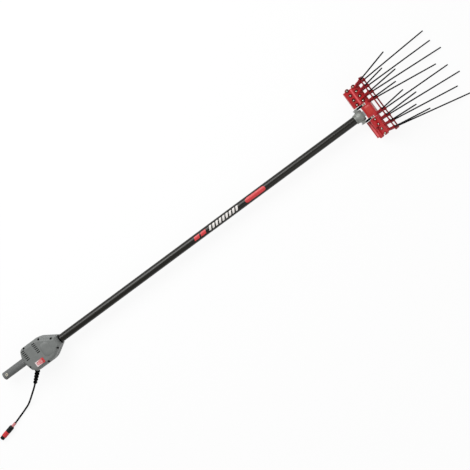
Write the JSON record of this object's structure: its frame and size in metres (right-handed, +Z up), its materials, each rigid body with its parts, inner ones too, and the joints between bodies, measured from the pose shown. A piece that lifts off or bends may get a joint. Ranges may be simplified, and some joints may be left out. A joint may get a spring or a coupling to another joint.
{
  "type": "electric olive harvester",
  "caption": "Electric olive harvester: grey motor housing with rear handle, switch and plug lead, long black drive pole and a red double comb of black tines that swings on a cross shaft.",
  "frame": {"origin": "on the axis of the rear handle, in the middle of its tube between cap and housing", "axes": "+X along the tool from handle to comb, +Y to the tool's left, +Z up from the surface it lies on"},
  "size_m": [2.4352, 0.3464, 0.2502],
  "materials": {
    "housing_grey": "fine grained moulded grey",
    "handle_grey": "moulded grey",
    "pole_black": "black anodised",
    "tine_black": "dark fibre rod",
    "comb_red": "moulded bright red",
    "ring_red": "moulded dark red",
    "plug_red": "moulded red",
    "switch_red": "moulded red",
    "bezel_pale": "pale moulded",
    "cast_grey": "sand cast",
    "steel": "turned",
    "core_steel": "stacked sheet",
    "magnet_black": "sintered",
    "copper": "turned",
    "brass": "turned",
    "bush_white": "natural",
    "block_black": "moulded black",
    "rubber_black": "matt black",
    "plug_black": "moulded black"
  },
  "bodies": {
    "tool": {"housing_top": "housing_grey", "housing_bottom": "housing_grey", "handle_grip": "handle_grey", "handle_cap": "handle_grey", "pole": "pole_black", "plug_band": "plug_red", "cable_boot": "plug_red", "switch_bezel": "bezel_pale", "head_bracket": "cast_grey", "gear_plate": "cast_grey", "motor_rear_plate": "cast_grey", "motor_front_plate": "cast_grey", "housing_screws": "steel", "motor_can": "steel", "motor_bearings": "steel", "shaft_bearings": "steel", "head_bolts": "steel", "pivot_bearings": "steel", "motor_magnets": "magnet_black", "motor_brushes": "copper", "plug_contacts": "brass", "shaft_bushes": "bush_white", "bearing_blocks": "block_black", "cable_relief": "rubber_black", "power_cable": "rubber_black", "plug_rear": "plug_black", "plug_nose": "plug_black"},
    "drive": {"drive_shaft": "steel", "drive_gear": "steel", "crank": "steel", "crank_roller": "steel"},
    "rotor": {"motor_shaft": "steel", "rotor_core": "core_steel", "commutator": "copper", "motor_pinion": "steel", "cooling_fan": "block_black"},
    "comb": {"cross_shaft": "steel", "comb_hub": "comb_red", "rocker_fork": "steel", "left_comb": "comb_red", "right_comb": "comb_red", "guide_ring": "ring_red", "comb_screws": "steel", "lower_tine_1": "tine_black", "lower_tine_2": "tine_black", "lower_tine_3": "tine_black", "lower_tine_4": "tine_black", "lower_tine_5": "tine_black", "lower_tine_6": "tine_black", "lower_tine_7": "tine_black", "lower_tine_8": "tine_black", "upper_tine_1": "tine_black", "upper_tine_2": "tine_black", "upper_tine_3": "tine_black", "upper_tine_4": "tine_black", "upper_tine_5": "tine_black", "upper_tine_6": "tine_black", "upper_tine_7": "tine_black", "upper_tine_8": "tine_black"},
    "switch": {"switch_rocker": "switch_red"}
  },
  "joints": [
    {"name": "comb_swing", "type": "hinge", "parent": "tool", "child": "comb", "pos_m": [1.7795, -0.012, 0], "axis": [0, -1, 0], "range_deg": [-12, 12]},
    {"name": "drive_spin", "type": "hinge", "parent": "tool", "child": "drive", "pos_m": [0.2, -0.012, 0], "axis": [1, 0, 0], "range_deg": [-90, 90]},
    {"name": "rotor_spin", "type": "hinge", "parent": "tool", "child": "rotor", "pos_m": [0.1, 0, 0], "axis": [1, 0, 0], "range_deg": [-150, 150]},
    {"name": "switch_rock", "type": "hinge", "parent": "tool", "child": "switch", "pos_m": [0.105, -0.0404, 0.05], "axis": [0, 1, 0], "range_deg": [0, 16]}
  ],
  "couplings": [
    {"joint": "drive_spin", "follows": "comb_swing", "ratio": 7.5},
    {"joint": "rotor_spin", "follows": "comb_swing", "ratio": -12.5}
  ]
}
